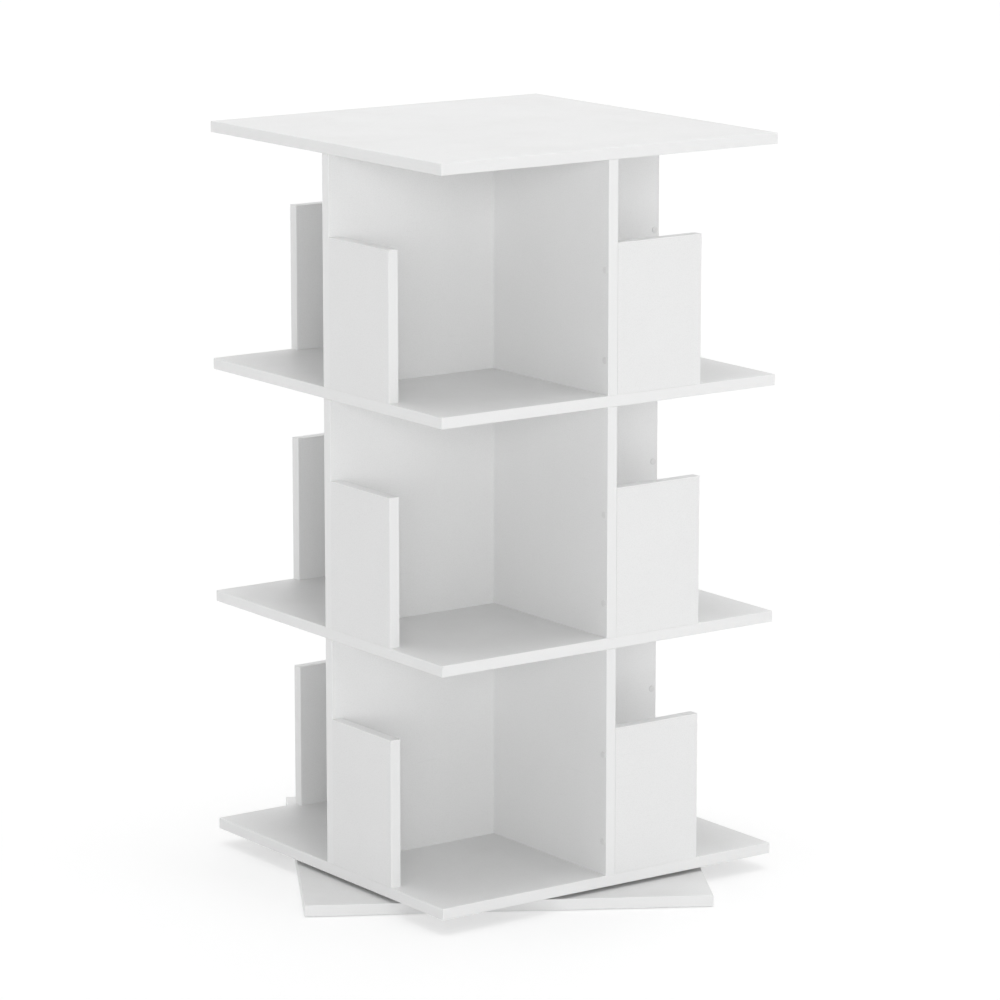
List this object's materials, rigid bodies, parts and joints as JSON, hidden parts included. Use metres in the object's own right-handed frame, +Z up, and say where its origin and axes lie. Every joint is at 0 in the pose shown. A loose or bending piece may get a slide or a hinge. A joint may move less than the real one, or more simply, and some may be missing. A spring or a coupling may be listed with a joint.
{
  "type": "revolving file shelf",
  "caption": "Floor-standing revolving file shelf: square boards with crossed dividers and low stops, turning as one column on a flat base board.",
  "frame": {"origin": "on the floor, on the turning axis, under the middle of the base board", "axes": "+Z up along the turning axis; X and Y square to the column's boards, with its front on the -Y side; the base board is turned -30.5 degrees about +Z under the column"},
  "size_m": [0.8756, 0.8756, 1.1895],
  "materials": {
    "white_board": "white melamine-faced chipboard, fine satin texture",
    "white_edging": "white plastic edge banding, satin",
    "cap_plastic": "white plastic push-in cap",
    "glide_plastic": "pale grey plastic",
    "ring_aluminium": "rolled and turned",
    "ball_steel": "polished steel",
    "cage_plastic": "natural nylon",
    "zinc_steel": "zinc-plated steel",
    "beech": "raw beech"
  },
  "bodies": {
    "base": {"base_board": "white_board", "base_board_edging": "white_edging", "base_glides": "glide_plastic", "turntable_outer_ring": "ring_aluminium", "outer_ring_screws": "zinc_steel"},
    "ball_train": {"bearing_balls": "ball_steel", "ball_cage": "cage_plastic"},
    "column": {"turntable_inner_ring": "ring_aluminium", "inner_ring_screws": "zinc_steel", "dowels": "beech", "stop_screws": "zinc_steel", "screw_caps": "cap_plastic", "bottom_board": "white_board", "bottom_board_edging": "white_edging", "lower_shelf": "white_board", "lower_shelf_edging": "white_edging", "upper_shelf": "white_board", "upper_shelf_edging": "white_edging", "top_board": "white_board", "top_board_edging": "white_edging", "lower_through_divider": "white_board", "lower_front_divider": "white_board", "lower_rear_divider": "white_board", "lower_front_stop": "white_board", "lower_right_stop": "white_board", "lower_rear_stop": "white_board", "lower_left_stop": "white_board", "lower_divider_edging": "white_edging", "lower_stop_edging": "white_edging", "middle_through_divider": "white_board", "middle_front_divider": "white_board", "middle_rear_divider": "white_board", "middle_front_stop": "white_board", "middle_right_stop": "white_board", "middle_rear_stop": "white_board", "middle_left_stop": "white_board", "middle_divider_edging": "white_edging", "middle_stop_edging": "white_edging", "upper_through_divider": "white_board", "upper_front_divider": "white_board", "upper_rear_divider": "white_board", "upper_front_stop": "white_board", "upper_right_stop": "white_board", "upper_rear_stop": "white_board", "upper_left_stop": "white_board", "upper_divider_edging": "white_edging", "upper_stop_edging": "white_edging"}
  },
  "joints": [
    {"name": "column_spin", "type": "hinge", "parent": "base", "child": "column", "pos_m": [0, 0, 0.0225], "axis": [0, 0, 1], "continuous": true},
    {"name": "ball_train_spin", "type": "hinge", "parent": "base", "child": "ball_train", "pos_m": [0, 0, 0.0225], "axis": [0, 0, 1], "continuous": true}
  ],
  "couplings": [
    {"joint": "ball_train_spin", "follows": "column_spin", "ratio": 0.4965}
  ]
}
